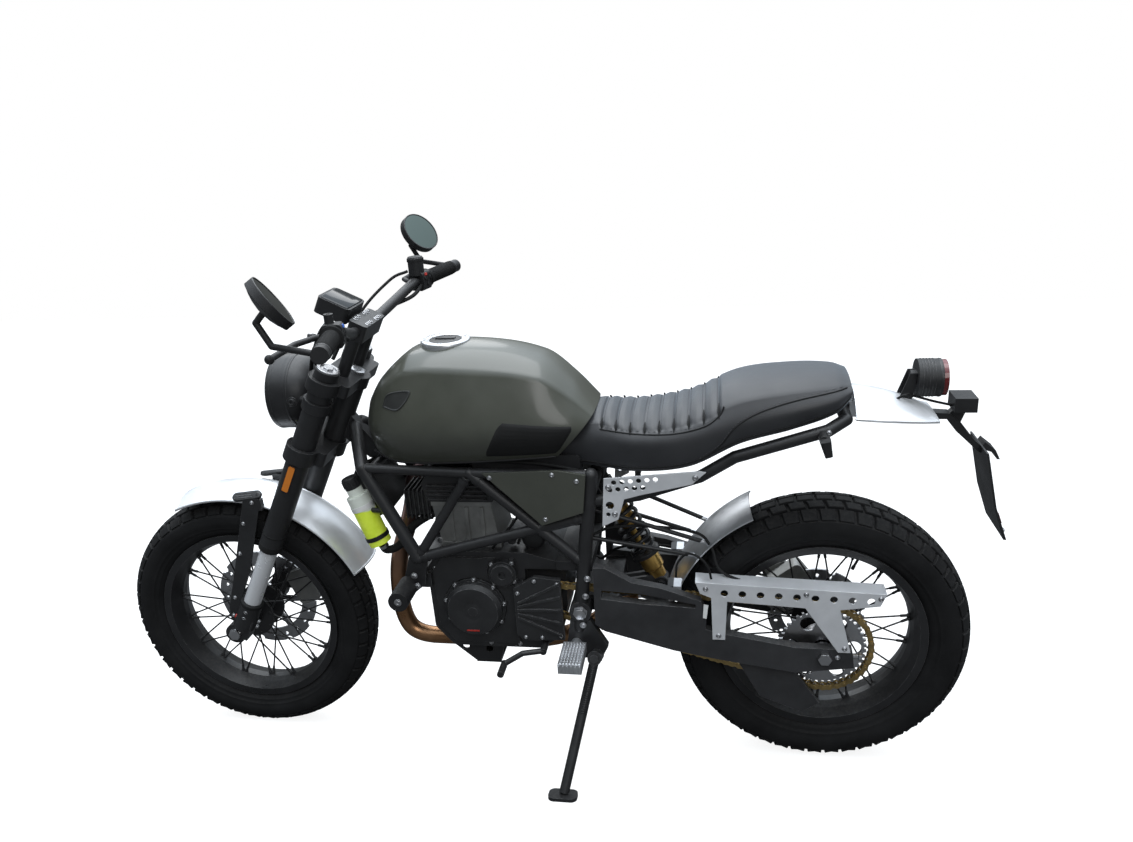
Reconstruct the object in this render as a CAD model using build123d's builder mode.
from build123d import *
import os
from math import atan2, cos, degrees, hypot, pi, radians, sin, sqrt, tan

# Scrambler motorcycle on its side stand, millimetres.
# Built upright: x forward, y to the rider's left, z up, floor line under mid wheelbase.

# Driving dimensions
WHEELBASE = 1390.0
LEAN_DEG = 11.25
RAKE_DEG = 26.0
FORK_OFFSET = 45.0
LEG_AHEAD = 35.0
FORK_SPREAD = 98.0
FIT = 0.3
AXLE_RADIUS = 10.0
LIP_RADIUS = 230.0
SEAT_RADIUS = 216.0
BED_RADIUS = 199.0
SPOKE_RADIUS = 2.0
TREAD_TEETH = 24
CARCASS_FACETS = 28
GROOVE = 7.0
FRONT_TYRE_RADIUS = 317.0
FRONT_TYRE_HALF = 57.0
FRONT_CROWN = 86.0
REAR_TYRE_RADIUS = 326.0
REAR_TYRE_HALF = 69.0
REAR_CROWN = 123.0
HEAD_LOW = 550.0
HEAD_HIGH = 690.0
HEAD_RADIUS = 27.0
STEM_RADIUS = 15.0
TUBE_RADIUS = 27.0
STANCHION_RADIUS = 20.5
CHAIN_Y = 84.0
FRONT_PITCH = 36.0
REAR_PITCH = 104.0
CHAIN_HALF_HEIGHT = 7.5
CHAIN_HALF_WIDTH = 8.0
FRAME_Y = 113.0
ARM_INNER = 106.0
ARM_OUTER = 128.0
BAR_RADIUS = 12.0
HEADLIGHT_RADIUS = 86.0
MIRROR_RADIUS = 52.0
STAND_RADIUS = 11.0
MIRROR_BOSS_TOP = 1142.0
MIRROR_THREAD_RADIUS = 4.25
MIRROR_THREAD_DEPTH = 16.0

# Derived places
lean = radians(LEAN_DEG)
rake = radians(RAKE_DEG)
lean_lift = 1 / cos(lean) - 1
front_axle_at = Vector(WHEELBASE / 2, 0, FRONT_TYRE_RADIUS + FRONT_CROWN * lean_lift)
rear_axle_at = Vector(-WHEELBASE / 2, 0, REAR_TYRE_RADIUS + REAR_CROWN * lean_lift)
steer_up = Vector(-sin(rake), 0, cos(rake))
steer_ahead = Vector(cos(rake), 0, sin(rake))
steer_foot = front_axle_at - steer_ahead * FORK_OFFSET
floor_normal = Vector(0, -sin(lean), cos(lean))
AXLE_AHEAD = FORK_OFFSET - LEG_AHEAD


def on_steer(along, ahead=0.0, across=0.0):
    return steer_foot + steer_up * along + steer_ahead * ahead + Vector(0, across, 0)


def steer_plane(along):
    return Plane(origin=on_steer(along), x_dir=steer_ahead, z_dir=steer_up)


def side_plane(y):
    # Sketch x is forward and sketch y is up; an extrusion goes to the right.
    return Plane(origin=(0, y, 0), x_dir=(1, 0, 0), z_dir=(0, -1, 0))


def wheel_plane(axle):
    # Sketch x is the radius and sketch y is the axle.
    return Plane(origin=axle, x_dir=(1, 0, 0), z_dir=(0, 0, 1))


def line_plane(start, end):
    return Plane(origin=start, z_dir=Vector(end) - Vector(start))


def distance(start, end):
    return (Vector(end) - Vector(start)).length


def toothed(tip, root, phase):
    # Lug tops fill most of each pitch; the first corner is at the lowest point.
    points = []
    for tooth in range(TREAD_TEETH):
        for share, size in ((0.0, tip), (0.66, tip), (0.72, root), (0.94, root)):
            angle = radians(-90 + 360 * (tooth + share + phase) / TREAD_TEETH)
            points.append((size * cos(angle), size * sin(angle)))
    return points


pieces = {}

# Tyres and laced wheels
# Columns: name, axle, tyre radius, half width, crown radius, rim half width, hub half width, flange y
WHEELS = [
    ("front", front_axle_at, FRONT_TYRE_RADIUS, FRONT_TYRE_HALF, FRONT_CROWN, 38.0, 55.0, 28.0),
    ("rear", rear_axle_at, REAR_TYRE_RADIUS, REAR_TYRE_HALF, REAR_CROWN, 50.0, 60.0, 34.0),
]
HUB_RADIUS = 27.0
FLANGE_RADIUS = 58.0
SPOKES_A_SIDE = 18
SPOKE_SWEEP = 36.0
for name, axle, radius, half, crown, rim_half, hub_half, flange_y in WHEELS:
    spin = Axis(axle, (0, 1, 0))
    shoulder_y = 0.82 * half
    shoulder_r = radius - crown + sqrt(crown**2 - shoulder_y**2)
    wall_r = 0.5 * (shoulder_r + LIP_RADIUS)
    lean_r = radius - crown * (1 - cos(lean))
    lean_y = crown * sin(lean)
    bead = SEAT_RADIUS + FIT
    over_lip = LIP_RADIUS + 1.5
    tread_r = shoulder_r - GROOVE - 2
    # Columns: place across, distance of the flats
    wall_sections = [(-half, wall_r), (-shoulder_y - 4, tread_r), (shoulder_y + 4, tread_r), (half, wall_r)]
    cup_sections = [(half + 1, wall_r - 6), (rim_half, over_lip)]
    # Columns: place across, tip radius
    lug_sections = [(0, lean_r), (lean_y, lean_r), (shoulder_y, shoulder_r)]
    with BuildPart() as tyre:
        for place, size in wall_sections:
            with BuildSketch(side_plane(place)):
                with Locations((axle.X, axle.Z)):
                    RegularPolygon(size, CARCASS_FACETS, major_radius=False)
        loft(ruled=True)
        for side, phase in ((1, 0.0), (-1, 0.5)):
            for place, tip in lug_sections:
                with BuildSketch(side_plane(side * place)):
                    with Locations((axle.X, axle.Z)):
                        Polygon(*toothed(tip, tip - GROOVE, phase), align=None)
            loft(ruled=True)
        for side in (1, -1):
            for place, size in cup_sections:
                with BuildSketch(side_plane(side * place)):
                    with Locations((axle.X, axle.Z)):
                        RegularPolygon(size, CARCASS_FACETS, major_radius=False)
            loft(ruled=True, mode=Mode.SUBTRACT)
        with BuildSketch(side_plane(half)):
            with Locations((axle.X, axle.Z)):
                RegularPolygon(bead, CARCASS_FACETS, major_radius=False)
        extrude(amount=2 * half, mode=Mode.SUBTRACT)
    pieces[name + "_tyre"] = tyre.part

    inner = rim_half + FIT
    outer = rim_half + 6
    bed_y = 0.6 * rim_half
    rim_side = [(LIP_RADIUS, inner), (LIP_RADIUS, outer), (LIP_RADIUS - 17, outer - 1),
                (BED_RADIUS + 5, bed_y), (BED_RADIUS, 9)]
    well_side = [(BED_RADIUS + 8, inner - 20), (SEAT_RADIUS, inner - 12), (SEAT_RADIUS, inner)]
    rim_points = rim_side + [(r, -y) for r, y in reversed(rim_side)]
    rim_points += [(r, -y) for r, y in reversed(well_side)] + well_side
    flange_side = [(FLANGE_RADIUS, flange_y - 3), (FLANGE_RADIUS, flange_y + 3),
                   (HUB_RADIUS, flange_y + 4), (HUB_RADIUS, hub_half), (AXLE_RADIUS + FIT, hub_half)]
    hub_points = [(HUB_RADIUS, flange_y - 8)] + flange_side
    hub_points += [(r, -y) for r, y in reversed(hub_points)]
    with BuildPart() as wheel:
        with BuildSketch(wheel_plane(axle)):
            with BuildLine():
                Polyline(*rim_points, close=True)
            make_face()
            with BuildLine():
                Polyline(*hub_points, close=True)
            make_face()
        revolve(axis=spin)
        for side in (1, -1):
            for number in range(SPOKES_A_SIDE):
                turn = 1 if number % 2 else -1
                hub_angle = radians(40 * (number // 2) + 10 * side + 3 * turn)
                rim_angle = hub_angle + turn * radians(SPOKE_SWEEP)
                hub_r = FLANGE_RADIUS - 6
                rim_r = BED_RADIUS + 4
                start = axle + Vector(hub_r * cos(hub_angle), side * flange_y, hub_r * sin(hub_angle))
                end = axle + Vector(rim_r * cos(rim_angle), side * 6, rim_r * sin(rim_angle))
                with BuildSketch(line_plane(start, end)):
                    Circle(SPOKE_RADIUS)
                extrude(amount=distance(start, end))
    pieces[name + "_wheel"] = wheel.part

# Brake discs, on the right
# Columns: name, axle, outer radius, inner radius, hub half width
DISCS = [
    ("front_disc", front_axle_at, 132.0, 94.0, 55.0),
    ("rear_disc", rear_axle_at, 112.0, 80.0, 60.0),
]
DISC_THICK = 5.0
for name, axle, outer_r, inner_r, hub_half in DISCS:
    with BuildPart() as disc:
        with BuildSketch(side_plane(-hub_half - FIT)) as ring:
            with Locations((axle.X, axle.Z)):
                Circle(outer_r)
                Circle(inner_r, mode=Mode.SUBTRACT)
                with PolarLocations(outer_r, 10):
                    Circle(9, mode=Mode.SUBTRACT)
                with PolarLocations(0.5 * (outer_r + inner_r), 20):
                    Circle(4.5, mode=Mode.SUBTRACT)
                Circle(40)
                with PolarLocations(0.5 * (inner_r + 38), 6):
                    Rectangle(inner_r - 30, 12)
                Circle(22, mode=Mode.SUBTRACT)
        extrude(amount=DISC_THICK)
    pieces[name] = disc.part

# Rear sprocket on its carrier
REAR_TEETH = 41
tooth_points = []
for tooth in range(REAR_TEETH):
    for share, depth in ((-0.16, 0.0), (0.16, 0.0), (0.34, 6.0), (0.66, 6.0)):
        angle = 2 * pi * (tooth + share) / REAR_TEETH
        reach = REAR_PITCH - 10 - depth
        tooth_points.append((reach * cos(angle), reach * sin(angle)))
with BuildPart() as sprocket:
    with BuildSketch(side_plane(CHAIN_Y + 3)):
        with Locations((rear_axle_at.X, rear_axle_at.Z)):
            Polygon(*tooth_points, align=None)
            Circle(20, mode=Mode.SUBTRACT)
            with PolarLocations(66, 6):
                Circle(17, mode=Mode.SUBTRACT)
    extrude(amount=6)
    with BuildSketch(side_plane(CHAIN_Y - 3)):
        with Locations((rear_axle_at.X, rear_axle_at.Z)):
            Circle(46)
            Circle(20, mode=Mode.SUBTRACT)
    extrude(amount=CHAIN_Y - 3 - 60 - FIT)
pieces["rear_sprocket"] = sprocket.part

# Axles, with collars up to the legs and the arms
# Columns: name, axle, half length, inner face of the nuts, left collar ends, right collar ends
AXLES = [
    ("front_axle", front_axle_at, 123.0, 116.3, (56.0, 79.7), (62.0, 79.7)),
    ("rear_axle", rear_axle_at, 138.0, 128.3, (CHAIN_Y + 4, 105.7), (67.0, 105.7)),
]
COLLAR_RADIUS = 16.0
for name, axle, half_length, nut_from, left_ends, right_ends in AXLES:
    with BuildPart() as axle_part:
        with BuildSketch(side_plane(half_length)):
            with Locations((axle.X, axle.Z)):
                Circle(AXLE_RADIUS)
        extrude(amount=2 * half_length)
        for side, ends in ((1, left_ends), (-1, right_ends)):
            with BuildSketch(side_plane(side * ends[1])):
                with Locations((axle.X, axle.Z)):
                    Circle(COLLAR_RADIUS)
            extrude(amount=side * (ends[1] - ends[0]))
        for side in (1, -1):
            with BuildSketch(side_plane(side * half_length)):
                with Locations((axle.X, axle.Z)):
                    RegularPolygon(15, 6)
            extrude(amount=side * (half_length - nut_from))
    pieces[name] = axle_part.part

# Fork: feet, stanchions, outer tubes
FOOT_LOW = 20.0
FOOT_HIGH = 92.0
TUBE_LOW = 266.0
TUBE_HIGH = 742.0
FOOT_RADIUS = 26.0
LEG_SPOTS = [(LEG_AHEAD, FORK_SPREAD), (LEG_AHEAD, -FORK_SPREAD)]
with BuildPart() as fork_tubes:
    with BuildSketch(steer_plane(TUBE_LOW)):
        with Locations(*LEG_SPOTS):
            Circle(TUBE_RADIUS)
    extrude(amount=TUBE_HIGH - TUBE_LOW)
pieces["fork_tubes"] = fork_tubes.part

with BuildPart() as stanchions:
    with BuildSketch(steer_plane(FOOT_HIGH)):
        with Locations(*LEG_SPOTS):
            Circle(STANCHION_RADIUS)
    extrude(amount=TUBE_LOW - FOOT_HIGH)
pieces["fork_stanchions"] = stanchions.part

FRONT_CALIPER_Y = -76.0
with BuildPart() as fork_feet:
    with BuildSketch(steer_plane(FOOT_LOW)):
        with Locations(*LEG_SPOTS):
            Circle(FOOT_RADIUS)
    extrude(amount=FOOT_HIGH - FOOT_LOW)
    for outer_y in (116, -80):
        with BuildSketch(side_plane(outer_y)):
            with Locations((front_axle_at.X, front_axle_at.Z)):
                Circle(25)
            leg_low = on_steer(-6, LEG_AHEAD)
            leg_mid = on_steer(50, LEG_AHEAD)
            with Locations(((leg_low.X + leg_mid.X) / 2, (leg_low.Z + leg_mid.Z) / 2)):
                Rectangle(44, 56, rotation=RAKE_DEG)
        extrude(amount=36)
    with BuildSketch(side_plane(FRONT_CALIPER_Y - FIT)):
        with BuildLine():
            Polyline((650, 338), (636, 386), (596, 392), (572, 352), (600, 330), close=True)
        make_face()
    extrude(amount=12)
    with BuildSketch(side_plane(140)):
        with Locations((front_axle_at.X, front_axle_at.Z)):
            Circle(AXLE_RADIUS + FIT)
    extrude(amount=280, mode=Mode.SUBTRACT)
pieces["fork_feet"] = fork_feet.part

# Calipers straddle their discs
# Columns: name, axle, angle, middle radius, outer face y, inner face y, disc half slot
CALIPERS = [
    ("front_caliper", front_axle_at, 158.0, 122.0, FRONT_CALIPER_Y, -38.0, 57.8),
    ("rear_caliper", rear_axle_at, 52.0, 104.0, -86.0, -44.0, 62.8),
]
for name, axle, angle, middle_r, outer_y, inner_y, disc_y in CALIPERS:
    out = Vector(cos(radians(angle)), 0, sin(radians(angle)))
    spot = axle + out * middle_r
    with BuildPart() as caliper:
        with BuildSketch(Plane(origin=(spot.X, inner_y, spot.Z), x_dir=out, z_dir=(0, -1, 0))):
            RectangleRounded(62, 94, 12)
        extrude(amount=inner_y - outer_y)
        with BuildSketch(Plane(origin=(axle.X, -disc_y + 4.5, axle.Z), x_dir=out, z_dir=(0, -1, 0))):
            Circle(middle_r + 16)
        extrude(amount=9, mode=Mode.SUBTRACT)
        if name == "rear_caliper":
            with BuildSketch(side_plane(outer_y)):
                with BuildLine():
                    Polyline((-600, 316), (-570, 420), (-620, 446), (-655, 400), (-655, 316), close=True)
                make_face()
            extrude(amount=ARM_INNER - FIT + outer_y)
    pieces[name] = caliper.part

# Yokes, stem, bar risers and clamp
LOWER_LOW = 512.0
LOWER_HIGH = 548.0
UPPER_LOW = 693.0
UPPER_HIGH = 722.0
BAR_ALONG = 831.6
BAR_AHEAD = 16.7
with BuildPart() as yokes:
    for low, high in ((LOWER_LOW, LOWER_HIGH), (UPPER_LOW, UPPER_HIGH)):
        with BuildSketch(steer_plane(low)):
            with Locations((18, 0)):
                RectangleRounded(76, 2 * FORK_SPREAD, 10)
            with Locations(*LEG_SPOTS):
                Circle(TUBE_RADIUS + 10)
            Circle(32)
            with Locations(*LEG_SPOTS):
                Circle(TUBE_RADIUS + FIT, mode=Mode.SUBTRACT)
        extrude(amount=high - low)
    with BuildSketch(steer_plane(LOWER_HIGH)):
        Circle(STEM_RADIUS)
    extrude(amount=UPPER_LOW - LOWER_HIGH)
    with BuildSketch(steer_plane(UPPER_HIGH)):
        with Locations((BAR_AHEAD, 45), (BAR_AHEAD, -45)):
            Circle(14)
    extrude(amount=BAR_ALONG - 10 - UPPER_HIGH)
    with BuildSketch(steer_plane(BAR_ALONG - 20)):
        with Locations((BAR_AHEAD, 0)):
            RectangleRounded(42, 118, 8)
    extrude(amount=40)
    bar_left = on_steer(BAR_ALONG, BAR_AHEAD, 70)
    with BuildSketch(side_plane(70)):
        with Locations((bar_left.X, bar_left.Z)):
            Circle(BAR_RADIUS + FIT)
    extrude(amount=140, mode=Mode.SUBTRACT)
pieces["yokes"] = yokes.part

# Handlebar, grips, controls, mirrors
bar_middle = on_steer(BAR_ALONG, BAR_AHEAD)
BAR_BEND = Vector(266, 240, 1100)
BAR_END = Vector(219, 415, 1106)
bar_way = (BAR_END - BAR_BEND).normalized()


def on_bar(y):
    return BAR_BEND + (BAR_END - BAR_BEND) * ((y - BAR_BEND.Y) / (BAR_END.Y - BAR_BEND.Y))


bar_route = [BAR_END, BAR_BEND, Vector(bar_middle.X, 74, bar_middle.Z)]
bar_route += [Vector(p.X, -p.Y, p.Z) for p in reversed(bar_route)]
with BuildPart() as handlebar:
    with BuildLine() as bar_line:
        FilletPolyline(*bar_route, radius=60)
    with BuildSketch(Plane(origin=BAR_END, z_dir=-1 * bar_way)):
        Circle(BAR_RADIUS)
    sweep()
pieces["handlebar"] = handlebar.part

GRIP_IN = 292.0
with BuildPart() as grips:
    grip_start = on_bar(GRIP_IN)
    with BuildSketch(Plane(origin=grip_start, z_dir=bar_way)):
        Circle(17)
        Circle(BAR_RADIUS + FIT, mode=Mode.SUBTRACT)
    extrude(amount=distance(grip_start, BAR_END))
    with BuildSketch(Plane(origin=grip_start, z_dir=bar_way)):
        Circle(23)
        Circle(BAR_RADIUS + FIT, mode=Mode.SUBTRACT)
    extrude(amount=7)
    mirror(about=Plane.XZ)
pieces["grips"] = grips.part

LEVER_ROUTE = [(262, 270, 1100), (292, 276, 1098), (316, 318, 1096), (320, 412, 1094)]
with BuildPart() as controls:
    pod_start = on_bar(254)
    pod_end = on_bar(289)
    with BuildSketch(Plane(origin=pod_start, z_dir=bar_way)):
        RectangleRounded(40, 46, 8)
    extrude(amount=distance(pod_start, pod_end))
    for start, end in zip(LEVER_ROUTE, LEVER_ROUTE[1:]):
        with BuildSketch(line_plane(start, end)):
            Circle(6)
        extrude(amount=distance(start, end))
    with Locations(*LEVER_ROUTE[1:3]):
        Sphere(6)
    with Locations(LEVER_ROUTE[3]):
        Sphere(9)
    with BuildSketch(Plane(origin=on_bar(240), z_dir=bar_way)):
        Circle(BAR_RADIUS + FIT)
    extrude(amount=80, mode=Mode.SUBTRACT)
    mirror(about=Plane.XZ)
    with BuildSketch(Plane(origin=(262, -262, 1116), z_dir=(0, 0, 1))):
        Circle(19)
    extrude(amount=42)
    with BuildSketch(Plane(origin=(264, 268, 1116), z_dir=(0, 0, 1))):
        Circle(9)
    extrude(amount=MIRROR_BOSS_TOP - 1116)
    with BuildSketch(Plane(origin=(264, 268, MIRROR_BOSS_TOP), z_dir=(0, 0, -1))):
        Circle(MIRROR_THREAD_RADIUS)
    extrude(amount=MIRROR_THREAD_DEPTH, mode=Mode.SUBTRACT)
pieces["bar_controls"] = controls.part

MIRROR_AT = Vector(297, 420, 1196)
mirror_facing = Vector(-0.75, -0.35, 0.55).normalized()
ARM_ROUTE = [BAR_END + bar_way * 14, (303, 427, 1122), (326, 426, 1164), MIRROR_AT]
with BuildPart() as mirrors:
    with BuildSketch(Plane(origin=BAR_END + bar_way * FIT, z_dir=bar_way)):
        Circle(16)
    extrude(amount=22)
    for start, end in zip(ARM_ROUTE, ARM_ROUTE[1:]):
        with BuildSketch(line_plane(start, end)):
            Circle(6)
        extrude(amount=distance(start, end))
    with Locations(*ARM_ROUTE[1:3]):
        Sphere(6)
    with BuildSketch(Plane(origin=MIRROR_AT - mirror_facing * 8, z_dir=mirror_facing)):
        Circle(MIRROR_RADIUS)
    extrude(amount=16)
    mirror(about=Plane.XZ)
pieces["mirrors"] = mirrors.part

# Headlight on two clamps, lens, instrument
CLAMP_ABOVE = 107.0
CLAMP_ALONG = LOWER_HIGH + CLAMP_ABOVE
HEADLIGHT_AT = on_steer(CLAMP_ALONG, LEG_AHEAD) + Vector(63, 0, 2)
lamp_plane = Plane(origin=HEADLIGHT_AT, x_dir=(1, 0, 0), z_dir=(0, 0, 1))
with BuildPart() as headlight:
    with BuildSketch(lamp_plane):
        with BuildLine():
            Polyline((58, HEADLIGHT_RADIUS), (58, HEADLIGHT_RADIUS - 5),
                     (44, HEADLIGHT_RADIUS - 5), (44, 0),
                     (-46, 0), (-44, 30))
            ThreePointArc((-44, 30), (-18, 72), (30, HEADLIGHT_RADIUS))
            Line((30, HEADLIGHT_RADIUS), (58, HEADLIGHT_RADIUS))
        make_face()
    revolve(axis=Axis(HEADLIGHT_AT, (1, 0, 0)))
    with BuildSketch(steer_plane(CLAMP_ALONG - 12)):
        with Locations(*LEG_SPOTS):
            Circle(TUBE_RADIUS + 5)
    extrude(amount=24)
    ear_to = on_steer(CLAMP_ALONG, LEG_AHEAD, FORK_SPREAD)
    for side in (1, -1):
        ear_from = Vector(HEADLIGHT_AT.X - 4, side * 62, HEADLIGHT_AT.Z)
        ear_end = Vector(ear_to.X, side * ear_to.Y, ear_to.Z)
        with BuildSketch(line_plane(ear_from, ear_end)):
            Circle(9)
        extrude(amount=distance(ear_from, ear_end))
    with BuildSketch(steer_plane(CLAMP_ALONG - 40)):
        with Locations(*LEG_SPOTS):
            Circle(TUBE_RADIUS + FIT)
    extrude(amount=80, mode=Mode.SUBTRACT)
pieces["headlight"] = headlight.part

lens_radius = HEADLIGHT_RADIUS - 5 - FIT
lens_curve = (lens_radius**2 + 12**2) / 24
lens_bow = lens_curve - sqrt(lens_curve**2 - (lens_radius / 2) ** 2)
with BuildPart() as lens:
    with BuildSketch(lamp_plane):
        with BuildLine():
            Polyline((44 + FIT, 0), (44 + FIT, HEADLIGHT_RADIUS - 5 - FIT),
                     (54, HEADLIGHT_RADIUS - 5 - FIT))
            ThreePointArc((54, lens_radius), (66 - lens_bow, lens_radius / 2), (66, 0))
            Line((66, 0), (44 + FIT, 0))
        make_face()
    revolve(axis=Axis(HEADLIGHT_AT, (1, 0, 0)))
pieces["headlight_lens"] = lens.part

with BuildPart() as instrument:
    with BuildSketch(steer_plane(832)):
        with Locations((84, 0)):
            RectangleRounded(76, 100, 12)
    extrude(amount=36)
    with BuildSketch(steer_plane(834)):
        with Locations((BAR_AHEAD + 21 + FIT + 15, 0)):
            Rectangle(30, 36)
    extrude(amount=10)
pieces["instrument"] = instrument.part

with BuildPart() as reflectors:
    with BuildSketch(side_plane(FORK_SPREAD + TUBE_RADIUS + FIT + 4)):
        strip = on_steer(470, LEG_AHEAD)
        with Locations((strip.X, strip.Z)):
            RectangleRounded(15, 66, 4, rotation=RAKE_DEG)
    extrude(amount=4)
    mirror(about=Plane.XZ)
pieces["fork_reflectors"] = reflectors.part

# Front fender and its stays
FENDER_RADIUS = 351.0
FENDER_HALF = 66.0
FENDER_DROP = 20.0
FENDER_THICK = 3.0
FENDER_FROM = 66.0
FENDER_TO = 155.0
fender_centre = front_axle_at + Vector(-9, 0, 3)
fender_start = Vector(cos(radians(FENDER_FROM)), 0, sin(radians(FENDER_FROM)))
with BuildPart() as front_fender:
    fender_normal = fender_start.cross(Vector(0, 1, 0))
    with BuildSketch(Plane(origin=fender_centre, x_dir=fender_start, z_dir=fender_normal)):
        with BuildLine():
            edge_r = FENDER_RADIUS - FENDER_DROP
            ThreePointArc((edge_r, FENDER_HALF), (FENDER_RADIUS, 0), (edge_r, -FENDER_HALF))
            Line((edge_r, -FENDER_HALF), (edge_r - FENDER_THICK, -FENDER_HALF))
            ThreePointArc((edge_r - FENDER_THICK, -FENDER_HALF), (FENDER_RADIUS - FENDER_THICK, 0),
                          (edge_r - FENDER_THICK, FENDER_HALF))
            Line((edge_r - FENDER_THICK, FENDER_HALF), (edge_r, FENDER_HALF))
        make_face()
    revolve(axis=Axis(fender_centre, (0, -1, 0)), revolution_arc=FENDER_TO - FENDER_FROM)
pieces["front_fender"] = front_fender.part

STAY_OUTER = 79.7
with BuildPart() as stays:
    with BuildSketch(side_plane(STAY_OUTER)):
        with BuildLine():
            Polyline((586, 662), (628, 668), (684, 482), (720, 372), (722, 336), (706, 336), (694, 372),
                     (648, 470), close=True)
        make_face()
    extrude(amount=4)
    with BuildSketch(side_plane(STAY_OUTER)):
        with BuildLine():
            Polyline((586, 634), (586, 662), (628, 668), (628, 644), close=True)
        make_face()
    extrude(amount=STAY_OUTER - FENDER_HALF - FIT)
    mirror(about=Plane.XZ)
pieces["fender_stays"] = stays.part

# Frame: head tube, two side trusses, cross tubes, brackets and lugs
# Columns: start, end, radius, on the left
HEAD_JOIN = (352, 20, 822)
DOWN_BEND = (313, 104, 756)
LOW_JOINT = (205, FRAME_Y, 540)
TOP_JOINT = (66, FRAME_Y, 750)
UPRIGHT_TOP = (-200, FRAME_Y, 748)
UPRIGHT_LOW = (-159, FRAME_Y, 378)
FRAME_TUBES = [
    (HEAD_JOIN, DOWN_BEND, 15.0),
    (DOWN_BEND, LOW_JOINT, 15.0),
    (DOWN_BEND, TOP_JOINT, 11.0),
    (TOP_JOINT, UPRIGHT_TOP, 11.0),
    (TOP_JOINT, (-178, FRAME_Y, 534), 12.5),
    ((72, FRAME_Y, 740), LOW_JOINT, 11.0),
    (LOW_JOINT, (-186, FRAME_Y, 650), 12.0),
    (UPRIGHT_TOP, (-161, FRAME_Y, 404), 15.5),
    ((-161, FRAME_Y, 404), UPRIGHT_LOW, 15.5),
]
FRAME_JOINTS = [(HEAD_JOIN, 15.0), (DOWN_BEND, 15.0), (LOW_JOINT, 15.0), (TOP_JOINT, 12.5),
                (UPRIGHT_TOP, 15.5), ((-161, FRAME_Y, 404), 15.5), (UPRIGHT_LOW, 15.5)]
# Columns: x, z, radius of the tubes across
CROSS_TUBES = [(-200, 712, 12.0), (-157, 345, 11.0), (300, 744, 11.0)]
PIVOT_AT = (-163, 420)
PIVOT_RADIUS = 8.0
STAND_PIVOT = Vector(-195, 152, 320)
STAND_AXIS = Vector(0, 0.906, 0.423).normalized()
bottle_top = Vector(350, 84, 702)
bottle_low = Vector(302, 84, 562)
BOTTLE_RADIUS = 26.0
with BuildPart() as frame:
    for start, end, radius in FRAME_TUBES:
        with BuildSketch(line_plane(start, end)):
            Circle(radius)
        extrude(amount=distance(start, end))
    for spot, radius in FRAME_JOINTS:
        with Locations(spot):
            Sphere(radius)
    with BuildSketch(side_plane(FRAME_Y + 15)):
        with Locations(PIVOT_AT):
            Circle(25)
    extrude(amount=30)
    with BuildSketch(side_plane(FRAME_Y - 3)):
        with BuildLine():
            Polyline((224, 552), (184, 552), (196, 470), (222, 448), (252, 462), close=True)
        make_face()
    extrude(amount=10)
    mirror(about=Plane.XZ)
    with BuildSketch(side_plane(122)):
        with BuildLine():
            Polyline((-184, 396), (-138, 396), (-128, 330), (-140, 300), (-205, 296),
                     (-222, 330), close=True)
        make_face()
    extrude(amount=18)
    with BuildSketch(side_plane(-104)):
        with BuildLine():
            Polyline((-184, 396), (-138, 396), (-128, 330), (-140, 312), (-180, 312), close=True)
        make_face()
    extrude(amount=18)
    for x, z, radius in CROSS_TUBES:
        with BuildSketch(side_plane(FRAME_Y)):
            with Locations((x, z)):
                Circle(radius)
        extrude(amount=2 * FRAME_Y)
    with BuildSketch(steer_plane(HEAD_LOW)):
        Circle(HEAD_RADIUS)
    extrude(amount=HEAD_HIGH - HEAD_LOW)
    with BuildSketch(side_plane(14)):
        with BuildLine():
            Polyline((372, 862), (398, 808), (330, 745), (270, 738), (250, 766), (306, 772), close=True)
        make_face()
    extrude(amount=28)
    lug_from = STAND_PIVOT - STAND_AXIS * 46
    with BuildSketch(Plane(origin=lug_from, z_dir=STAND_AXIS)):
        Circle(15)
    extrude(amount=46 - 13)
    with BuildSketch(Plane(origin=lug_from, z_dir=STAND_AXIS)):
        Circle(6)
    extrude(amount=46 + 14)
    with BuildSketch(Plane(origin=STAND_PIVOT + STAND_AXIS * 13, z_dir=STAND_AXIS)):
        RegularPolygon(10, 6)
    extrude(amount=6)
    strap_to = bottle_low + (bottle_top - bottle_low) * 0.6
    strap_from = Vector(263, 109, 652)
    strap_way = (strap_to - strap_from).normalized()
    with BuildSketch(Plane(origin=strap_from, z_dir=strap_way)):
        Circle(6)
    extrude(amount=distance(strap_from, strap_to))
    with BuildSketch(line_plane(bottle_low, bottle_top)):
        Circle(BOTTLE_RADIUS + FIT)
    extrude(amount=distance(bottle_low, bottle_top), mode=Mode.SUBTRACT)
    with BuildSketch(steer_plane(HEAD_LOW - 60)):
        Circle(STEM_RADIUS + 0.5)
    extrude(amount=HEAD_HIGH - HEAD_LOW + 120, mode=Mode.SUBTRACT)
    with BuildSketch(side_plane(FRAME_Y + 30)):
        with Locations(PIVOT_AT):
            Circle(PIVOT_RADIUS + FIT)
    extrude(amount=2 * FRAME_Y + 60, mode=Mode.SUBTRACT)
pieces["frame"] = frame.part

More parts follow.
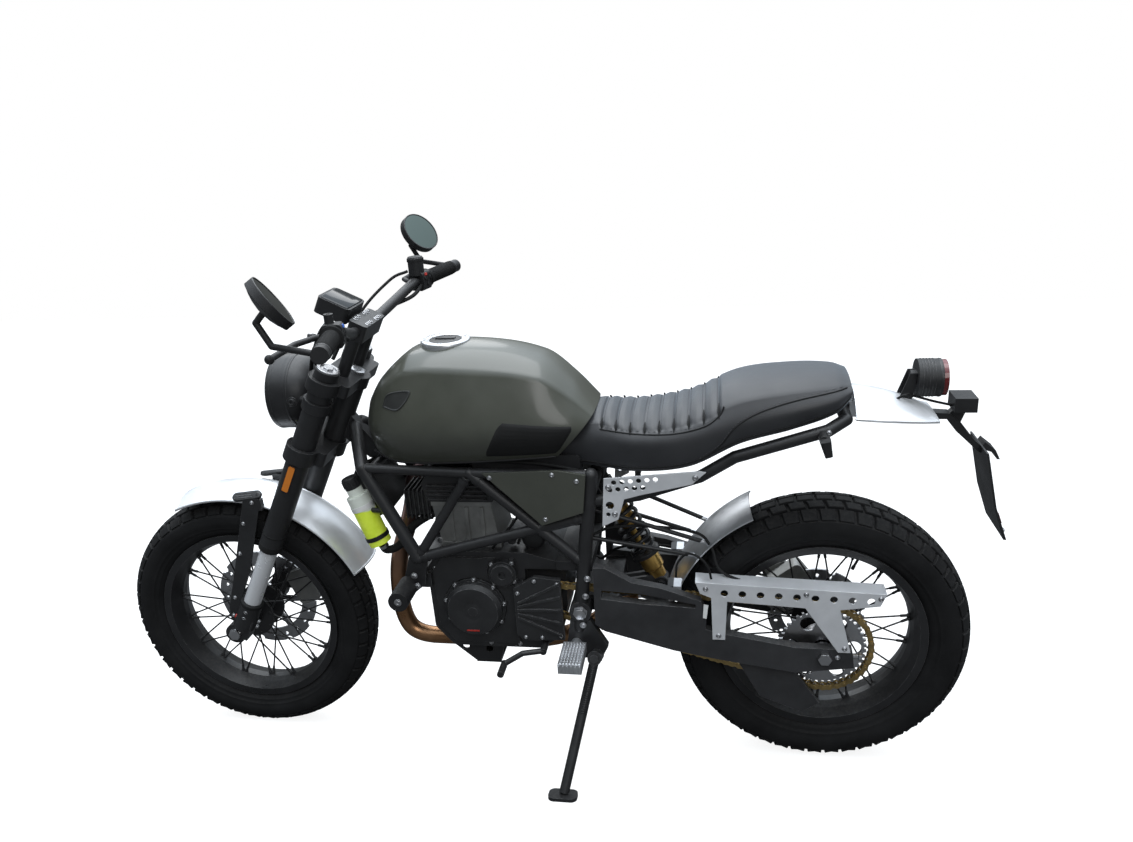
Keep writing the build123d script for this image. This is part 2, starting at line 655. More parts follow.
# Rear rails with their loop
RAIL_RADIUS = 13.0
rail_route = [(-185, 106, 682), (-300, 110, 702), (-430, 110, 746), (-500, 110, 790), (-684, 104, 846),
              (-722, 76, 860)]
rail_route += [(x, -y, z) for x, y, z in reversed(rail_route)]
with BuildPart() as rails:
    for start, end in zip(rail_route, rail_route[1:]):
        with BuildSketch(line_plane(start, end)):
            Circle(RAIL_RADIUS)
        extrude(amount=distance(start, end))
    with Locations(*rail_route[1:-1]):
        Sphere(RAIL_RADIUS)
    with Locations((-300, 0, 754)):
        Box(12, 220, 10)
    with Locations((-300, 108, 730), (-300, -108, 730)):
        Box(12, 8, 58)
    for start, end, radius in FRAME_TUBES[7:8]:
        for side in (1, -1):
            left = Vector(start[0], side * start[1], start[2])
            low = Vector(end[0], side * end[1], end[2])
            with BuildSketch(line_plane(left, low)):
                Circle(radius + FIT)
            extrude(amount=distance(left, low), mode=Mode.SUBTRACT)
pieces["rear_rails"] = rails.part

# Swingarm
ARM_OUTLINE = [(-196, 392), (-196, 533), (-222, 533), (-279, 500), (-346, 487), (-430, 458), (-442, 430),
               (-440, 388), (-469, 380), (-633, 351), (-752, 350), (-758, 305), (-635, 287), (-471, 312),
               (-370, 331), (-217, 374)]
ARM_HOLE = [(-212, 478), (-300, 472), (-418, 450), (-418, 441), (-300, 447), (-212, 456)]
with BuildPart() as swingarm:
    with BuildSketch(side_plane(ARM_OUTER)):
        with BuildLine():
            Polyline(*ARM_OUTLINE, close=True)
        make_face()
        with BuildLine():
            Polyline(*ARM_HOLE, close=True)
        make_face(mode=Mode.SUBTRACT)
    extrude(amount=ARM_OUTER - ARM_INNER)
    with BuildSketch(side_plane(16)):
        with BuildLine():
            Polyline((-240, 440), (-330, 458), (-352, 440), (-338, 418), (-240, 396), close=True)
        make_face()
    extrude(amount=8)
    mirror(about=Plane.XZ)
    with BuildSketch(side_plane(ARM_INNER + 3)):
        with BuildLine():
            Polyline((-500, 316), (-618, 300), (-690, 196), (-652, 170), (-560, 208), close=True)
        make_face()
    extrude(amount=12)
    with Locations((-221, 0, 416)):
        Box(50, 2 * ARM_INNER + 10, 46)
    with Locations((-185, 0, 420)):
        Box(40, 164, 40)
    with BuildSketch(side_plane(92)):
        with Locations(PIVOT_AT):
            Circle(24)
    extrude(amount=184)
    with BuildSketch(side_plane(96)):
        with Locations(PIVOT_AT):
            Circle(PIVOT_RADIUS + FIT)
    extrude(amount=192, mode=Mode.SUBTRACT)
    with BuildSketch(side_plane(ARM_OUTER + 4)):
        with Locations((rear_axle_at.X, rear_axle_at.Z)):
            Circle(AXLE_RADIUS + FIT)
    extrude(amount=2 * ARM_OUTER + 8, mode=Mode.SUBTRACT)
pieces["swingarm"] = swingarm.part

with BuildPart() as pivot_bolt:
    with BuildSketch(side_plane(136)):
        with Locations(PIVOT_AT):
            Circle(PIVOT_RADIUS)
    extrude(amount=272)
    for side in (1, -1):
        with BuildSketch(side_plane(side * (128.5 + FIT))):
            with Locations(PIVOT_AT):
                RegularPolygon(14, 6)
        extrude(amount=-side * 9)
pieces["pivot_bolt"] = pivot_bolt.part

# Shock between the frame's upper cross tube and the arm's lug
SHOCK_TOP = Vector(-200, 0, 712)
SHOCK_LOW = Vector(-338, 0, 438)
shock_way = (SHOCK_LOW - SHOCK_TOP).normalized()
shock_length = distance(SHOCK_TOP, SHOCK_LOW)
COILS = 7
COIL_FROM = 70.0
COIL_STEP = 22.0
shock_plane = Plane(origin=SHOCK_TOP, x_dir=shock_way, z_dir=(0, 1, 0))
shock_profile = [(0, 0), (0, 12), (24, 12), (24, 20), (58, 20), (58, 33), (66, 33)]
with BuildPart() as shock:
    with BuildSketch(shock_plane):
        with BuildLine():
            Polyline(*shock_profile, (COIL_FROM, 24))
            for coil in range(COILS):
                near = COIL_FROM + COIL_STEP * coil
                Polyline((near, 24), (near + 4, 33), (near + 14, 33), (near + 18, 24),
                         (near + COIL_STEP, 24))
            coil_end = COIL_FROM + COIL_STEP * COILS
            Polyline((coil_end, 24), (coil_end, 33), (coil_end + 10, 33), (coil_end + 10, 18),
                     (shock_length, 10),
                     (shock_length, 0), (0, 0))
        make_face()
    revolve(axis=Axis(SHOCK_TOP, shock_way))
    with BuildSketch(side_plane(22)):
        with Locations((SHOCK_TOP.X, SHOCK_TOP.Z)):
            Circle(20)
    extrude(amount=44)
    with BuildSketch(side_plane(8 - FIT)):
        with Locations((SHOCK_LOW.X, SHOCK_LOW.Z)):
            Circle(16)
    extrude(amount=16 - 2 * FIT)
    for start, end in (((0, 60, 0), (0, 8 - FIT, 0)), ((0, -60, 0), (0, FIT - 8, 0))):
        with Locations((SHOCK_LOW.X, (start[1] + end[1]) / 2, SHOCK_LOW.Z)):
            Box(64, abs(start[1] - end[1]), 64, mode=Mode.SUBTRACT)
    with BuildSketch(side_plane(40)):
        with Locations((SHOCK_TOP.X, SHOCK_TOP.Z)):
            Circle(12 + FIT)
    extrude(amount=80, mode=Mode.SUBTRACT)
pieces["shock"] = shock.part

# Engine
CASE_HALF = 88.0
CASE_TOP = 545.0
with BuildPart() as engine_case:
    case_outline = [(192, 345), (150, 296), (-60, 296), (-110, 330), (-124, 400), (-124, 520),
                    (-40, CASE_TOP), (165, CASE_TOP), (196, 500)]
    with BuildSketch(side_plane(CASE_HALF)) as case_face:
        with BuildLine():
            Polyline(*case_outline, close=True)
        make_face()
        fillet(case_face.vertices().sort_by(Axis.Z)[:5], 20)
    extrude(amount=2 * CASE_HALF)
    with BuildSketch(side_plane(CASE_HALF + 5)) as seam_face:
        with BuildLine():
            Polyline(*case_outline, close=True)
        make_face()
        offset(amount=-14, kind=Kind.INTERSECTION, mode=Mode.REPLACE)
        with BuildLine():
            Polyline((-10, 250), (-10, 600), (-200, 600), (-200, 250), close=True)
        make_face(mode=Mode.SUBTRACT)
        with Locations((88, 407)):
            Circle(74, mode=Mode.SUBTRACT)
        with Locations((15, 497)):
            Circle(38, mode=Mode.SUBTRACT)
    extrude(amount=8)
    with Locations((215, 0, 474)):
        Box(60, 2 * (FRAME_Y - 13 - FIT), 36)
    with Locations((-150, 0, 520)):
        Box(80, 2 * (FRAME_Y - 15.5 - FIT), 22)
    with Locations((-84, CASE_HALF - 10, 420)):
        Box(100, 30, 170, mode=Mode.SUBTRACT)
pieces["engine_case"] = engine_case.part

# Columns: height at the front, height at the rear
COVER_RIBS = [(432, 486), (424, 452), (416, 418), (406, 384), (396, 352)]
with BuildPart() as covers:
    with BuildSketch(side_plane(96)):
        with Locations((88, 407)):
            Circle(72)
    extrude(amount=96 - CASE_HALF - FIT)
    with BuildSketch(side_plane(110)):
        with Locations((88, 407)):
            Circle(66)
    extrude(amount=18)
    with BuildSketch(side_plane(110)):
        with Locations((88, 407)):
            Circle(66)
    extrude(amount=-10, taper=40)
    with BuildSketch(side_plane(104)):
        with Locations((15, 497)):
            Circle(32)
    extrude(amount=104 - CASE_HALF - FIT)
    with BuildSketch(side_plane(104)):
        with Locations((15, 497)):
            Circle(26)
    extrude(amount=-5, taper=30)
    with BuildSketch(side_plane(118)):
        with BuildLine():
            Polyline((-12, 470), (-60, 500), (-119, 494), (-122, 340), (-30, 334),
                     (-12, 350), close=True)
        make_face()
    extrude(amount=12)
    with BuildSketch(side_plane(110)):
        with BuildLine():
            Polyline((-12, 470), (-30, 480), (-32, 336), (-12, 350), close=True)
        make_face()
    extrude(amount=110 - CASE_HALF - FIT)
    for root_z, tip_z in COVER_RIBS:
        with BuildSketch(side_plane(122)):
            with BuildLine():
                Polyline((-18, root_z + 3), (-117, tip_z + 3), (-117, tip_z - 3),
                         (-18, root_z - 3), close=True)
            make_face()
        extrude(amount=6)
    with BuildSketch(side_plane(-CASE_HALF - FIT)):
        with Locations((40, 420)):
            Circle(96)
        with Locations((140, 372)):
            Circle(44)
    extrude(amount=26)
    with BuildSketch(side_plane(-CASE_HALF - FIT - 26)):
        with Locations((40, 420)):
            Circle(84)
    extrude(amount=10, taper=35)
pieces["engine_covers"] = covers.part

CYLINDER_TOP = 660.0
BARREL_BANDS = [(CASE_TOP + FIT, CASE_TOP + 12), (CYLINDER_TOP - 12, CYLINDER_TOP)]
PORT_AT = Vector(208, -38, 690)
with BuildPart() as cylinder:
    barrel = [(22, CASE_TOP + FIT), (160, CASE_TOP + FIT), (178, CYLINDER_TOP), (40, CYLINDER_TOP)]
    with BuildSketch(side_plane(62)):
        with BuildLine():
            Polyline(*barrel, close=True)
        make_face()
    extrude(amount=124)
    for low, high in BARREL_BANDS:
        shift_low = (low - CASE_TOP) * 18 / (CYLINDER_TOP - CASE_TOP)
        with Locations((91 + shift_low, 0, (low + high) / 2)):
            Box(141, 132, high - low)
    for x in (60, 96, 132):
        for side in (1, -1):
            with Locations((x, side * 63, 602)):
                Box(9, 6, 84)
pieces["cylinder"] = cylinder.part

with BuildPart() as head:
    with BuildSketch(side_plane(70)):
        with BuildLine():
            Polyline((32, CYLINDER_TOP + FIT), (184, CYLINDER_TOP + FIT), (194, 705),
                     (168, 742), (60, 742),
                     (42, 715), close=True)
        make_face()
    extrude(amount=140)
    for fin in range(4):
        with Locations((112, 0, CYLINDER_TOP + 8 + 11 * fin)):
            Box(138, 152, 4)
    with BuildSketch(Plane(origin=(170, PORT_AT.Y, PORT_AT.Z), z_dir=(1, 0, 0))):
        Circle(26)
    extrude(amount=PORT_AT.X - 170)
    with BuildSketch(Plane(origin=(46, 0, 700), z_dir=(-1, 0, -0.1))):
        Circle(24)
    extrude(amount=96)
    with BuildSketch(Plane(origin=(0, 0, 695), z_dir=(-1, 0, -0.1))):
        Circle(33)
    extrude(amount=26)
    with Locations((208, 34, 654)):
        Box(56, 60, 56)
    for fin in range(6):
        with Locations((184 + 10 * fin, 34, 654)):
            Box(3, 76, 72)
pieces["cylinder_head"] = head.part

# Exhaust pipe from the head round under the engine, and the silencer on the right
PIPE_RADIUS = 21.0
SILENCER_FROM = Vector(-266, -184, 304)
SILENCER_TO = Vector(-500, -190, 342)
silencer_way = (SILENCER_TO - SILENCER_FROM).normalized()
pipe_route = [PORT_AT + Vector(FIT, 0, 0), PORT_AT + Vector(38, 0, 0), (256, -32, 600), (302, 0, 470),
              (308, 0, 329), (278, 0, 262), (-60, 0, 262), (-150, -60, 262),
              (-196, -140, 268), SILENCER_FROM - silencer_way * 34, SILENCER_FROM]
with BuildPart() as pipe:
    with BuildLine() as pipe_line:
        FilletPolyline(*pipe_route, radius=PIPE_RADIUS + 3)
    with BuildSketch(Plane(origin=pipe_route[0], z_dir=(1, 0, 0))):
        Circle(PIPE_RADIUS)
    sweep()
pieces["exhaust_pipe"] = pipe.part

with BuildPart() as silencer:
    with BuildSketch(Plane(origin=SILENCER_FROM + silencer_way * FIT, z_dir=silencer_way)):
        Circle(24)
    with BuildSketch(Plane(origin=SILENCER_FROM + silencer_way * 40, z_dir=silencer_way)):
        Circle(42)
    loft()
    with BuildSketch(Plane(origin=SILENCER_FROM + silencer_way * 40, z_dir=silencer_way)):
        Circle(42)
    extrude(amount=distance(SILENCER_FROM, SILENCER_TO) - 40)
pieces["silencer"] = silencer.part

# Radiator and coolant bottle
down_way = (Vector(DOWN_BEND) - Vector(LOW_JOINT)).normalized()
down_flat = Vector(down_way.X, 0, down_way.Z).normalized()
down_ahead = Vector(down_flat.Z, 0, -down_flat.X)
radiator_at = Vector(274, 0, 692) + down_ahead * 52
GRILLE_SLOTS = 9
with BuildPart() as radiator:
    core_at = radiator_at + Vector(0, -26, 0)
    with BuildSketch(Plane(origin=core_at - down_ahead * 16, x_dir=(0, 1, 0), z_dir=down_ahead)):
        Rectangle(148, 112)
    extrude(amount=32)
    with BuildSketch(Plane(origin=core_at + down_ahead * 16, x_dir=(0, 1, 0), z_dir=down_ahead)):
        with GridLocations(0, 11, 1, GRILLE_SLOTS):
            Rectangle(126, 7)
    extrude(amount=-8, mode=Mode.SUBTRACT)
    for down in (0.2, 0.42):
        hold = Vector(DOWN_BEND) + (Vector(LOW_JOINT) - Vector(DOWN_BEND)) * down
        hold_from = Vector(hold.X, 12 - hold.Y, hold.Z)
        with BuildSketch(Plane(origin=hold_from, z_dir=down_ahead)):
            Circle(6)
        extrude(amount=46)
    right_bend = Vector(DOWN_BEND[0], -DOWN_BEND[1], DOWN_BEND[2])
    right_low = Vector(LOW_JOINT[0], -LOW_JOINT[1], LOW_JOINT[2])
    with BuildSketch(line_plane(right_bend, right_low)):
        Circle(15 + FIT)
    extrude(amount=distance(right_bend, right_low), mode=Mode.SUBTRACT)
pieces["radiator"] = radiator.part

with BuildPart() as bottle:
    with BuildSketch(line_plane(bottle_low, bottle_top)):
        Circle(BOTTLE_RADIUS)
    extrude(amount=distance(bottle_low, bottle_top) - 22)
    bottle_way = (bottle_top - bottle_low).normalized()
    with BuildSketch(Plane(origin=bottle_top - bottle_way * 22, z_dir=bottle_way)):
        Circle(18)
    extrude(amount=22)
pieces["coolant_bottle"] = bottle.part

# Skid bracket under the engine
with BuildPart() as skid:
    with BuildSketch(side_plane(62)):
        with BuildLine():
            Polyline((150, 296 - FIT), (170, 290), (108, 236), (48, 236), (33, 296 - FIT), close=True)
        make_face()
        with Locations((132, 276), (74, 270)):
            Circle(9, mode=Mode.SUBTRACT)
    extrude(amount=6)
    mirror(about=Plane.XZ)
    with Locations((78, 0, 236)):
        Box(60, 124, 6)
pieces["skid_bracket"] = skid.part

# Crash sliders
with BuildPart() as sliders:
    with BuildSketch(side_plane(190)):
        with Locations((236, 468)):
            Circle(23)
    extrude(amount=190 - FRAME_Y + 3 - FIT)
    mirror(about=Plane.XZ)
pieces["crash_sliders"] = sliders.part

# Tank and seat are parted by a slanted plane
PART_LOW = Vector(-131, 0, 788)
PART_HIGH = Vector(-208, 0, 873)
part_way = (PART_HIGH - PART_LOW).normalized()
part_normal = Vector(part_way.Z, 0, -part_way.X)
# Columns: x, bottom z, bottom half width, side z, side half width, shoulder z, shoulder half width, top z
TANK_SECTIONS = [
    (300, 786, 62, 846, 84, 896, 52, 912),
    (246, 772, 92, 850, 122, 940, 84, 968),
    (190, 770, 106, 850, 142, 972, 98, 1006),
    (60, 776, 114, 850, 148, 974, 106, 1018),
    (-90, 785, 110, 850, 136, 956, 100, 990),
    (-160, 790, 98, 850, 118, 910, 86, 934),
    (-216, 800, 80, 835, 90, 855, 76, 866),
]
with BuildPart() as tank:
    for x, low_z, low_y, side_z, side_y, high_z, high_y, top_z in TANK_SECTIONS:
        with BuildSketch(Plane(origin=(x, 0, 0), x_dir=(0, 1, 0), z_dir=(1, 0, 0))):
            with BuildLine():
                Line((-low_y, low_z), (low_y, low_z))
                ThreePointArc((low_y, low_z), (side_y, side_z), (high_y, high_z))
                ThreePointArc((high_y, high_z), (0, top_z), (-high_y, high_z))
                ThreePointArc((-high_y, high_z), (-side_y, side_z), (-low_y, low_z))
            make_face()
    loft()
    split(bisect_by=Plane(origin=PART_LOW, z_dir=part_normal), keep=Keep.TOP)
    with BuildSketch(Plane(origin=(123, 0, 1000), z_dir=(0, 0, 1))):
        Circle(55)
    extrude(amount=40, mode=Mode.SUBTRACT)
pieces["tank"] = tank.part

with BuildPart() as cap:
    with BuildSketch(Plane(origin=(123, 0, 1000 + FIT), z_dir=(0, 0, 1))):
        Circle(54)
    extrude(amount=20)
pieces["filler_cap"] = cap.part

# Columns: x, bottom z, bottom half width, side z, side half width, shoulder z, shoulder half width, top z
SEAT_SECTIONS = [
    (-125, 764, 70, 800, 84, 830, 74, 850),
    (-208, 762, 92, 820, 104, 856, 86, 873),
    (-300, 760, 118, 820, 128, 850, 108, 871),
    (-410, 776, 126, 835, 132, 866, 112, 893),
    (-512, 826, 124, 870, 130, 908, 110, 937),
    (-615, 852, 112, 890, 122, 924, 102, 951),
    (-700, 880, 96, 908, 104, 930, 86, 950),
    (-733, 906, 76, 920, 82, 930, 66, 938),
]
with BuildPart() as seat:
    for x, low_z, low_y, side_z, side_y, high_z, high_y, top_z in SEAT_SECTIONS:
        with BuildSketch(Plane(origin=(x, 0, 0), x_dir=(0, 1, 0), z_dir=(1, 0, 0))):
            with BuildLine():
                Line((-low_y, low_z), (low_y, low_z))
                ThreePointArc((low_y, low_z), (side_y, side_z), (high_y, high_z))
                ThreePointArc((high_y, high_z), (0, top_z), (-high_y, high_z))
                ThreePointArc((-high_y, high_z), (-side_y, side_z), (-low_y, low_z))
            make_face()
    loft()
    split(bisect_by=Plane(origin=PART_LOW - part_normal * 0.6, z_dir=part_normal), keep=Keep.BOTTOM)
pieces["seat"] = seat.part

# Side covers and perforated plates
with BuildPart() as side_covers:
    with BuildSketch(side_plane(FRAME_Y + 15.5 + FIT + 5)):
        with BuildLine():
            Polyline((32, 758), (-130, 766), (-192, 756), (-183, 669), (-92, 637), close=True)
        make_face()
    extrude(amount=5)
    with BuildSketch(side_plane(FRAME_Y + 15.5 + FIT)):
        with Locations((-20, 749.4), (-120, 748.6)):
            Circle(8)
    extrude(amount=15.5 - 11)
    mirror(about=Plane.XZ)
pieces["side_covers"] = side_covers.part

# Columns: first hole x, first hole z, count, radius
PLATE_ROWS = [(-250, 737, 6, 5.5), (-241, 720, 5, 5.5)]
HOLE_STEP = Vector(-17.5, 0, 1.6)
# Columns: x, z, radius
PLATE_BOLTS = [(-240, 684, 9), (-236, 663, 5)]
PLATE_HOLES = [(x + HOLE_STEP.X * k, z + HOLE_STEP.Z * k, size) for x, z, count, size in PLATE_ROWS
               for k in range(count)] + PLATE_BOLTS
with BuildPart() as side_plates:
    with BuildSketch(side_plane(110 + RAIL_RADIUS + FIT + 4)):
        with BuildLine():
            Polyline((-229, 746), (-430, 764), (-442, 762), (-413, 735), (-305, 709),
                     (-271, 699), (-257, 652),
                     (-222, 634), close=True)
        make_face()
        for x, z, radius in PLATE_HOLES:
            with Locations((x, z)):
                Circle(radius, mode=Mode.SUBTRACT)
    extrude(amount=4)
    mirror(about=Plane.XZ)
pieces["side_plates"] = side_plates.part

# Tail fender, lamp, plate hanger, lenses, signals
# Columns: x, edge half width, edge z, middle z
LAMP_AT = Vector(-866, 0, 924)
LAMP_RADIUS = 39.0
rib_start = -722 - RAIL_RADIUS - FIT
TAIL_SECTIONS = [(-740, 86, 864, 908), (-838, 82, 857, 886), (-906, 62, 850, 853)]
with BuildPart() as tail:
    for x, edge_y, edge_z, middle_z in TAIL_SECTIONS:
        with BuildSketch(Plane(origin=(x, 0, 0), x_dir=(0, 1, 0), z_dir=(1, 0, 0))):
            with BuildLine():
                ThreePointArc((-edge_y, edge_z), (0, middle_z), (edge_y, edge_z))
                Line((edge_y, edge_z), (edge_y, edge_z - 4))
                ThreePointArc((edge_y, edge_z - 4), (0, middle_z - 4), (-edge_y, edge_z - 4))
                Line((-edge_y, edge_z - 4), (-edge_y, edge_z))
            make_face()
    loft()
    with BuildSketch(side_plane(20)):
        with BuildLine():
            Polyline((rib_start, 846), (rib_start, 876), (-760, 900), (-834, 880), (-902, 849),
                     (-902, 838),
                     close=True)
        make_face()
    extrude(amount=40)
pieces["tail_fender"] = tail.part

with BuildPart() as tail_lamp:
    with BuildSketch(Plane(origin=LAMP_AT, z_dir=(-1, 0, 0))):
        Circle(LAMP_RADIUS)
    extrude(amount=44)
    with BuildSketch(Plane(origin=LAMP_AT, z_dir=(1, 0, 0))):
        Circle(16)
    extrude(amount=12)
    for side in (1, -1):
        with BuildSketch(side_plane(side * 15 + 2)):
            with BuildLine():
                Polyline((-866, 938), (-852, 938), (-834, 886.9 + FIT), (-858, 881.9 + FIT),
                         (-862, 900), close=True)
            make_face()
        extrude(amount=4)
pieces["tail_lamp"] = tail_lamp.part

with BuildPart() as hanger:
    with BuildSketch(side_plane(14)):
        with BuildLine():
            Polyline((-906 - FIT, 852), (-936, 850), (-962, 826), (-990, 790), (-1006, 776),
                     (-1012, 760),
                     (-996, 768), (-950, 812), (-930, 838), (-906 - FIT, 838), close=True)
        make_face()
    extrude(amount=28)
    with BuildSketch(side_plane(65)):
        with BuildLine():
            Polyline((-1000, 782), (-1004, 782), (-1030, 662), (-1056, 590), (-1050, 590),
                     (-1025, 664), close=True)
        make_face()
    extrude(amount=130)
    with Locations((-962, 0, 872)):
        Box(44, 58, 30)
    with BuildSketch(side_plane(10)):
        with BuildLine():
            Polyline((-936, 850), (-948, 862), (-970, 862), (-958, 828), close=True)
        make_face()
    extrude(amount=20)
    with BuildSketch(side_plane(20)):
        with BuildLine():
            Polyline((-1000, 776), (-1008, 790), (-1030, 772), (-1040, 752), (-1034, 752), (-1022, 768),
                     close=True)
        make_face()
    extrude(amount=40)
pieces["plate_hanger"] = hanger.part

board_top = Vector(-1030, 0, 662)
board_way = (Vector(-1056, 0, 590) - board_top).normalized()
board_spot = board_top + board_way * 44
with BuildPart() as rear_lenses:
    with BuildSketch(Plane(origin=LAMP_AT + Vector(-44 - FIT, 0, 0), z_dir=(-1, 0, 0))):
        Circle(37)
    extrude(amount=13)
    with BuildSketch(Plane(origin=board_spot, x_dir=board_way, z_dir=(0, 1, 0))):
        with Locations((0, 3 + FIT)):
            Rectangle(24, 6)
    extrude(amount=30, both=True)
pieces["rear_lenses"] = rear_lenses.part

with BuildPart() as signals:
    with BuildSketch(side_plane(150)):
        with Locations((-672, 842)):
            Circle(8)
    extrude(amount=150 - 105 - RAIL_RADIUS - FIT + 6)
    with BuildSketch(Plane(origin=(-672, 150, 846), x_dir=(1, 0, 0), z_dir=(-0.25, 0, -1))):
        RectangleRounded(22, 44, 7)
    extrude(amount=34, taper=6)
    for start, end in zip(rail_route[3:5], rail_route[4:6]):
        with BuildSketch(line_plane(start, end)):
            Circle(RAIL_RADIUS + FIT)
        extrude(amount=distance(start, end), mode=Mode.SUBTRACT)
    mirror(about=Plane.XZ)
pieces["rear_signals"] = signals.part

# Rear hugger over the tyre
HUGGER_GAP = 30.0
HUGGER_RADIUS = REAR_TYRE_RADIUS + HUGGER_GAP
HUGGER_HALF = 76.0
HUGGER_EDGE = HUGGER_RADIUS - 15
hugger_start = Vector(cos(radians(14)), 0, sin(radians(14)))
# Columns: angle on the hugger, height of the foot on the upright
HUGGER_STRUTS = [(43.0, 660.0), (36.0, 590.0)]
with BuildPart() as hugger:
    hugger_normal = hugger_start.cross(Vector(0, 1, 0))
    with BuildSketch(Plane(origin=rear_axle_at, x_dir=hugger_start, z_dir=hugger_normal)):
        with BuildLine():
            ThreePointArc((HUGGER_EDGE, HUGGER_HALF), (HUGGER_RADIUS, 0), (HUGGER_EDGE, -HUGGER_HALF))
            Line((HUGGER_EDGE, -HUGGER_HALF), (HUGGER_EDGE - 3, -HUGGER_HALF))
            ThreePointArc((HUGGER_EDGE - 3, -HUGGER_HALF), (HUGGER_RADIUS - 3, 0),
                          (HUGGER_EDGE - 3, HUGGER_HALF))
            Line((HUGGER_EDGE - 3, HUGGER_HALF), (HUGGER_EDGE, HUGGER_HALF))
        make_face()
    revolve(axis=Axis(rear_axle_at, (0, -1, 0)), revolution_arc=49)
    tab_way = Vector(cos(radians(24.4)), 0, sin(radians(24.4)))
    tab_at = rear_axle_at + tab_way * (HUGGER_RADIUS - 1.3)
    tab_half = ARM_INNER - FIT - 87
    with Locations((tab_at.X, 87, tab_at.Z), (tab_at.X, -87, tab_at.Z)):
        Box(30, 2 * tab_half, 12)
    for turn, foot_z in HUGGER_STRUTS:
        out = Vector(cos(radians(turn)), 0, sin(radians(turn)))
        strut_from = rear_axle_at + out * (HUGGER_RADIUS - 9) + Vector(0, 56, 0)
        upright_share = (foot_z - UPRIGHT_LOW[2]) / (UPRIGHT_TOP[2] - UPRIGHT_LOW[2])
        foot_x = UPRIGHT_LOW[0] + (UPRIGHT_TOP[0] - UPRIGHT_LOW[0]) * upright_share
        strut_to = Vector(foot_x - 2, FRAME_Y - 15.5 - FIT - 6, foot_z)
        with BuildSketch(line_plane(strut_from, strut_to)):
            Circle(5)
        extrude(amount=distance(strut_from, strut_to))
        with Locations(strut_to):
            Box(16, 12, 16)
        mirror(about=Plane.XZ, mode=Mode.ADD)
pieces["rear_hugger"] = hugger.part

# Chain loop round both sprockets
SPROCKET_AT = Vector(-100, CHAIN_Y, 428)
chain_span = Vector(rear_axle_at.X - SPROCKET_AT.X, 0, rear_axle_at.Z - SPROCKET_AT.Z)
span_angle = degrees(atan2(chain_span.Z, chain_span.X))


CHAIN_PITCH = 15.875
FRONT_TEETH = 14
chain_reach = hypot(chain_span.X, chain_span.Z)
chain_rise = REAR_PITCH - FRONT_PITCH
chain_run = sqrt(chain_reach**2 - chain_rise**2)
chain_turn = 90 + degrees(atan2(chain_rise, chain_run))
front_wrap = FRONT_PITCH * radians(360 - 2 * chain_turn)
rear_wrap = REAR_PITCH * radians(2 * chain_turn)
chain_length = front_wrap + rear_wrap + 2 * chain_run
CHAIN_LINKS = round(chain_length / CHAIN_PITCH)


def on_chain(along, grow):
    # A point of the pitch loop, moved outward: front wrap, lower run, rear wrap, upper run.
    if along < front_wrap:
        centre, size, turn = SPROCKET_AT, FRONT_PITCH, chain_turn + degrees(along / FRONT_PITCH)
        slide = 0.0
    elif along < front_wrap + chain_run:
        centre, size, turn = SPROCKET_AT, FRONT_PITCH, -chain_turn
        slide = along - front_wrap
    elif along < front_wrap + chain_run + rear_wrap:
        past = along - front_wrap - chain_run
        centre, size, turn = rear_axle_at, REAR_PITCH, -chain_turn + degrees(past / REAR_PITCH)
        slide = 0.0
    else:
        centre, size, turn = rear_axle_at, REAR_PITCH, chain_turn
        slide = along - front_wrap - chain_run - rear_wrap
    angle = radians(span_angle + turn)
    run_way = radians(span_angle + turn + 90)
    x = centre.X + (size + grow) * cos(angle) + slide * cos(run_way)
    z = centre.Z + (size + grow) * sin(angle) + slide * sin(run_way)
    return x, z


def chain_edge(side):
    # Full height at the pins, and waisted between them on the outer side.
    edge = []
    for half_link in range(0, 2 * CHAIN_LINKS, 1 if side > 0 else 2):
        height = CHAIN_HALF_HEIGHT if half_link % 2 == 0 else 0.62 * CHAIN_HALF_HEIGHT
        edge.append(on_chain(chain_length * half_link / (2 * CHAIN_LINKS), side * height))
    return edge


with BuildPart() as chain:
    with BuildSketch(side_plane(CHAIN_Y + CHAIN_HALF_WIDTH)):
        Polygon(*chain_edge(1), align=None)
        Polygon(*chain_edge(-1), align=None, mode=Mode.SUBTRACT)
    extrude(amount=2 * CHAIN_HALF_WIDTH)
    with BuildSketch(side_plane(CHAIN_Y + 3)):
        with Locations((SPROCKET_AT.X, SPROCKET_AT.Z)):
            RegularPolygon(FRONT_PITCH, FRONT_TEETH)
    extrude(amount=6)
    with BuildSketch(side_plane(CHAIN_Y + 3)):
        with Locations((SPROCKET_AT.X, SPROCKET_AT.Z)):
            RegularPolygon(14, 12)
    extrude(amount=CHAIN_Y + 3 - CASE_HALF + 25 - FIT)
pieces["chain"] = chain.part

GUARD_Y = ARM_OUTER + FIT
with BuildPart() as guard:
    with BuildSketch(side_plane(GUARD_Y + 3)):
        with BuildLine():
            Polyline((-418, 507), (-815, 491), (-803, 462), (-722, 450), (-748, 345),
                     (-722, 345), (-650, 452),
                     (-486, 462), (-482, 366), (-455, 366), (-452, 470), (-428, 480), close=True)
        make_face()
        for number in range(9):
            with Locations((-480 - 38 * number, 482 - 1.2 * number)):
                Circle(8, mode=Mode.SUBTRACT)
    extrude(amount=3)
    with BuildSketch(side_plane(GUARD_Y + 3)):
        with BuildLine():
            Polyline((-418, 507), (-815, 491), (-815, 488), (-418, 504), close=True)
        make_face()
    extrude(amount=44)
pieces["chain_guard"] = guard.part

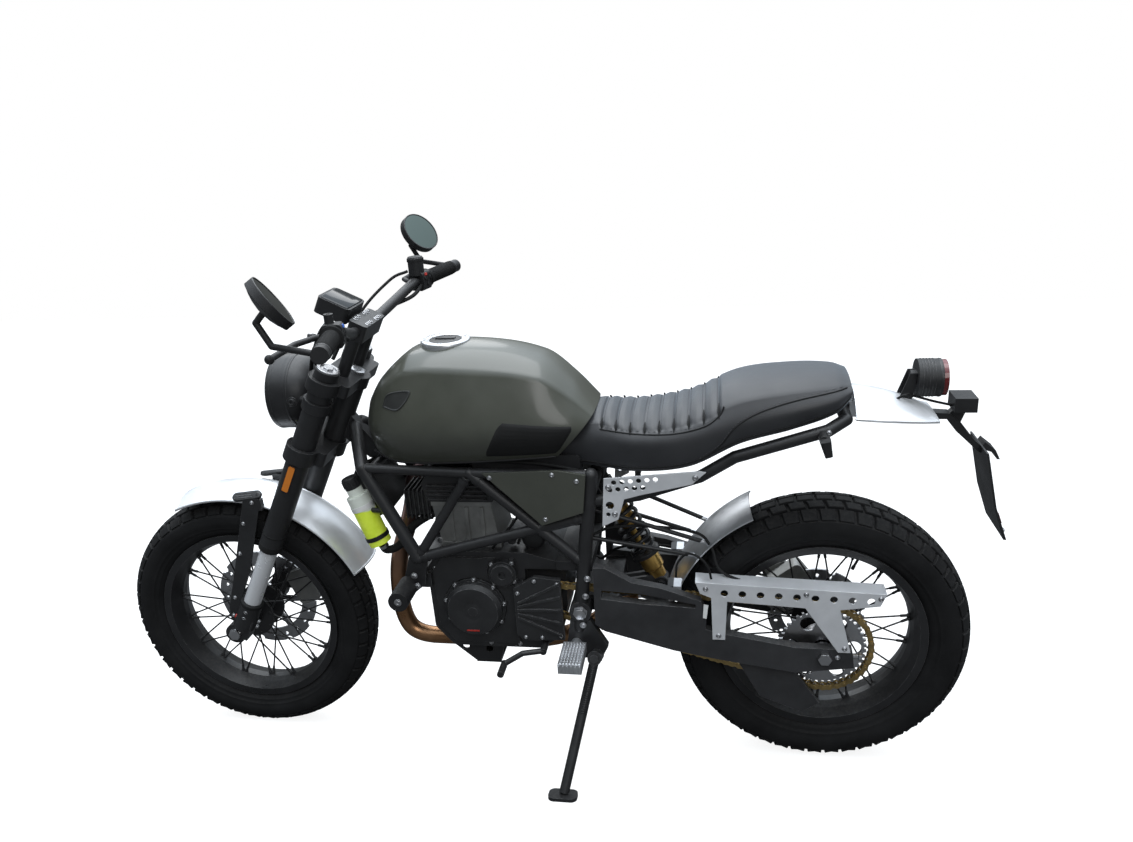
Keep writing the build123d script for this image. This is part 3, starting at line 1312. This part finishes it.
# Footpegs, foot levers, side stand
with BuildPart() as pegs:
    with BuildSketch(side_plane(140)):
        with Locations((-150, 338)):
            Circle(12)
    extrude(amount=140 - 122 - FIT)
    with Locations((-149, 182, 338)):
        Box(52, 88, 24)
    mirror(about=Plane.XZ)
pieces["footpegs"] = pegs.part

SHIFT_ROUTE = [(-74, 134, 320), (-28, 146, 319), (14, 158, 297)]
with BuildPart() as foot_levers:
    for side in (1, -1):
        route = [(x, side * y, z) for x, y, z in SHIFT_ROUTE]
        for start, end in zip(route, route[1:]):
            with BuildSketch(line_plane(start, end)):
                Circle(6.5)
            extrude(amount=distance(start, end))
        with Locations(*route[1:]):
            Sphere(6.5)
        with BuildSketch(side_plane(side * 200)):
            with Locations((14, 297)):
                Circle(8)
        extrude(amount=side * 46)
        with BuildSketch(side_plane(side * 140)):
            with Locations((-74, 320)):
                Circle(8)
        extrude(amount=side * (140 - CASE_HALF - FIT))
pieces["foot_levers"] = foot_levers.part

STAND_FOOT = Vector(-131, 301.1, 301.1 * tan(lean))
stand_way = (STAND_FOOT - STAND_PIVOT).normalized()
STAND_SOLE = 8.0
with BuildPart() as stand:
    with BuildSketch(Plane(origin=STAND_PIVOT - STAND_AXIS * 12, z_dir=STAND_AXIS)):
        Circle(16)
    extrude(amount=24)
    with BuildSketch(line_plane(STAND_PIVOT, STAND_FOOT)):
        Circle(STAND_RADIUS)
    extrude(amount=distance(STAND_PIVOT, STAND_FOOT) - 10)
    with BuildSketch(Plane(origin=STAND_FOOT, x_dir=(1, 0, 0), z_dir=floor_normal)):
        RectangleRounded(64, 40, 14)
    extrude(amount=STAND_SOLE)
    with BuildSketch(Plane(origin=STAND_PIVOT - STAND_AXIS * 30, z_dir=STAND_AXIS)):
        Circle(6 + FIT)
    extrude(amount=60, mode=Mode.SUBTRACT)
pieces["side_stand"] = stand.part

# Lean onto the stand, then centre the box over the origin
leaned = {name: piece.moved(Location((0, 0, 0), (-LEAN_DEG, 0, 0))) for name, piece in pieces.items()}
boxes = [piece.bounding_box() for piece in leaned.values()]
centre_x = (min(box.min.X for box in boxes) + max(box.max.X for box in boxes)) / 2
centre_y = (min(box.min.Y for box in boxes) + max(box.max.Y for box in boxes)) / 2
low_z = min(box.min.Z for box in boxes)
shift = Location((-centre_x, -centre_y, -low_z))
print("shift", round(-centre_x, 3), round(-centre_y, 3), round(-low_z, 3))
os.makedirs("parts", exist_ok=True)
for name, piece in leaned.items():
    placed = piece.moved(shift)
    placed.label = name
    export_step(placed, "parts/" + name + ".step")
